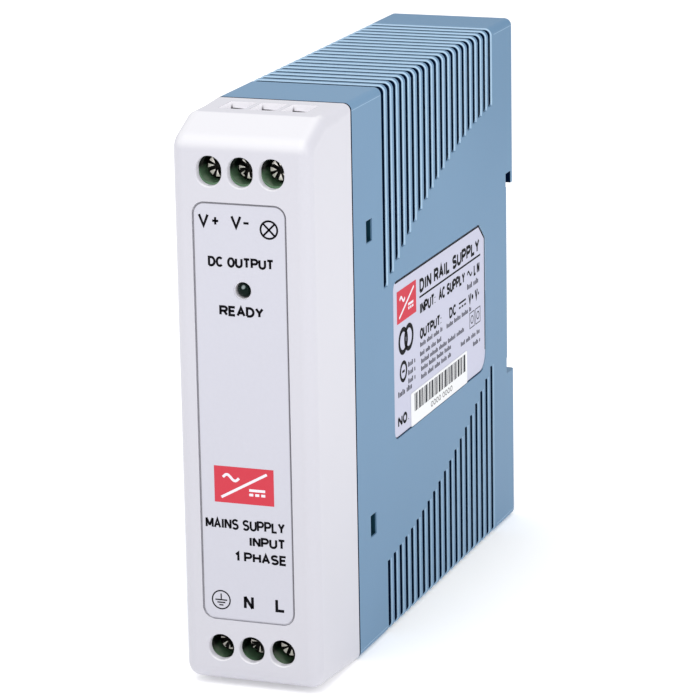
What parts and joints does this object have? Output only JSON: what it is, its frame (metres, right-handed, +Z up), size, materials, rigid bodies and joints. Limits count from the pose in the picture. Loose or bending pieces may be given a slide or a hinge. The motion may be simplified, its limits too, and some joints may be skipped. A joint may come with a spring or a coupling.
{
  "type": "din rail power supply",
  "caption": "Slim rail-mounted power supply: ribbed plastic housing, pale front cover with screw terminals at top and bottom, status light and sprung rail latch.",
  "frame": {"origin": "middle of the underside of the enclosure", "axes": "+Z up along the tall side, +Y from the front face to the rail, +X to the right seen from the front"},
  "size_m": [0.0226, 0.1, 0.09],
  "materials": {
    "housing_blue": "fine moulded satin",
    "cover_white": "satin gloss",
    "label_film": "printed film",
    "sticker_white": "coated paper",
    "terminal_green": "moulded",
    "tinned_metal": "tin plated",
    "screw_steel": "nickel plated",
    "clamp_steel": "zinc plated",
    "board_green": "solder mask",
    "light_lens": "tinted clear, unlit",
    "white_plastic": "moulded",
    "black_plastic": "moulded",
    "sleeve_black": "shrunk sleeve",
    "can_aluminium": "drawn",
    "heatsink_aluminium": "extruded",
    "ferrite": "sintered",
    "copper_wire": "enamelled copper",
    "tape_yellow": "polyester tape",
    "box_yellow": "moulded box",
    "fuse_ceramic": "glazed",
    "disc_dark": "dipped",
    "disc_blue": "dipped",
    "resistor_body": "lacquered",
    "insulation_film": "fibre sheet",
    "latch_grey": "moulded",
    "spring_steel": "spring wire"
  },
  "bodies": {
    "enclosure": {"housing": "housing_blue", "front_cover": "cover_white", "front_label": "label_film", "side_label": "label_film", "serial_sticker": "sticker_white", "output_terminal_body": "terminal_green", "input_terminal_body": "terminal_green", "output_terminal_pins": "tinned_metal", "input_terminal_pins": "tinned_metal", "header_pins": "tinned_metal", "light_leads": "tinned_metal", "fuse_caps": "tinned_metal", "heatsink_screw": "screw_steel", "front_board": "board_green", "main_board": "board_green", "power_light": "light_lens", "light_spacer": "white_plastic", "board_header": "black_plastic", "bridge_rectifier": "black_plastic", "switching_transistor": "black_plastic", "output_rectifier": "black_plastic", "optocoupler": "black_plastic", "control_chip": "black_plastic", "transformer_bobbin": "black_plastic", "bulk_capacitor_sleeve": "sleeve_black", "output_capacitor_sleeves": "sleeve_black", "bulk_capacitor_can": "can_aluminium", "output_capacitor_cans": "can_aluminium", "heatsink": "heatsink_aluminium", "choke_core": "ferrite", "transformer_core": "ferrite", "inductor_core": "ferrite", "choke_windings": "copper_wire", "inductor_winding": "copper_wire", "transformer_winding": "tape_yellow", "filter_capacitor": "box_yellow", "fuse_tube": "fuse_ceramic", "inrush_thermistor": "disc_dark", "surge_varistor": "disc_blue", "safety_capacitor": "disc_blue", "snubber_resistors": "resistor_body", "insulation_sheet": "insulation_film", "latch_spring": "spring_steel"},
    "rail_latch": {"rail_latch": "latch_grey"},
    "output_screw_1": {"output_screw_1": "screw_steel"},
    "output_screw_2": {"output_screw_2": "screw_steel"},
    "output_screw_3": {"output_screw_3": "screw_steel"},
    "input_screw_1": {"input_screw_1": "screw_steel"},
    "input_screw_2": {"input_screw_2": "screw_steel"},
    "input_screw_3": {"input_screw_3": "screw_steel"},
    "output_clamp_1": {"output_clamp_1": "clamp_steel"},
    "output_clamp_2": {"output_clamp_2": "clamp_steel"},
    "output_clamp_3": {"output_clamp_3": "clamp_steel"},
    "input_clamp_1": {"input_clamp_1": "clamp_steel"},
    "input_clamp_2": {"input_clamp_2": "clamp_steel"},
    "input_clamp_3": {"input_clamp_3": "clamp_steel"}
  },
  "joints": [
    {"name": "latch_pull", "type": "slide", "parent": "enclosure", "child": "rail_latch", "axis": [0, 0, -1], "range_m": [0, 0.003], "stiffness_N_per_m": 600, "springref_m": -0.002, "deforming": ["latch_spring"]},
    {"name": "output_screw_1_turn", "type": "hinge", "parent": "enclosure", "child": "output_screw_1", "pos_m": [-0.00508, -0.046, 0.0822], "axis": [0, 1, 0], "range_deg": [0, 1584]},
    {"name": "output_clamp_1_rise", "type": "slide", "parent": "enclosure", "child": "output_clamp_1", "axis": [0, -1, 0], "range_m": [0, 0.0022]},
    {"name": "output_screw_2_turn", "type": "hinge", "parent": "enclosure", "child": "output_screw_2", "pos_m": [0, -0.046, 0.0822], "axis": [0, 1, 0], "range_deg": [0, 1584]},
    {"name": "output_clamp_2_rise", "type": "slide", "parent": "enclosure", "child": "output_clamp_2", "axis": [0, -1, 0], "range_m": [0, 0.0022]},
    {"name": "output_screw_3_turn", "type": "hinge", "parent": "enclosure", "child": "output_screw_3", "pos_m": [0.00508, -0.046, 0.0822], "axis": [0, 1, 0], "range_deg": [0, 1584]},
    {"name": "output_clamp_3_rise", "type": "slide", "parent": "enclosure", "child": "output_clamp_3", "axis": [0, -1, 0], "range_m": [0, 0.0022]},
    {"name": "input_screw_1_turn", "type": "hinge", "parent": "enclosure", "child": "input_screw_1", "pos_m": [-0.00508, -0.046, 0.0065], "axis": [0, 1, 0], "range_deg": [0, 1584]},
    {"name": "input_clamp_1_rise", "type": "slide", "parent": "enclosure", "child": "input_clamp_1", "axis": [0, -1, 0], "range_m": [0, 0.0022]},
    {"name": "input_screw_2_turn", "type": "hinge", "parent": "enclosure", "child": "input_screw_2", "pos_m": [0, -0.046, 0.0065], "axis": [0, 1, 0], "range_deg": [0, 1584]},
    {"name": "input_clamp_2_rise", "type": "slide", "parent": "enclosure", "child": "input_clamp_2", "axis": [0, -1, 0], "range_m": [0, 0.0022]},
    {"name": "input_screw_3_turn", "type": "hinge", "parent": "enclosure", "child": "input_screw_3", "pos_m": [0.00508, -0.046, 0.0065], "axis": [0, 1, 0], "range_deg": [0, 1584]},
    {"name": "input_clamp_3_rise", "type": "slide", "parent": "enclosure", "child": "input_clamp_3", "axis": [0, -1, 0], "range_m": [0, 0.0022]}
  ],
  "couplings": [
    {"joint": "output_screw_1_turn", "follows": "output_clamp_1_rise", "rad_per_m": 12566},
    {"joint": "output_screw_2_turn", "follows": "output_clamp_2_rise", "rad_per_m": 12566},
    {"joint": "output_screw_3_turn", "follows": "output_clamp_3_rise", "rad_per_m": 12566},
    {"joint": "input_screw_1_turn", "follows": "input_clamp_1_rise", "rad_per_m": 12566},
    {"joint": "input_screw_2_turn", "follows": "input_clamp_2_rise", "rad_per_m": 12566},
    {"joint": "input_screw_3_turn", "follows": "input_clamp_3_rise", "rad_per_m": 12566}
  ]
}
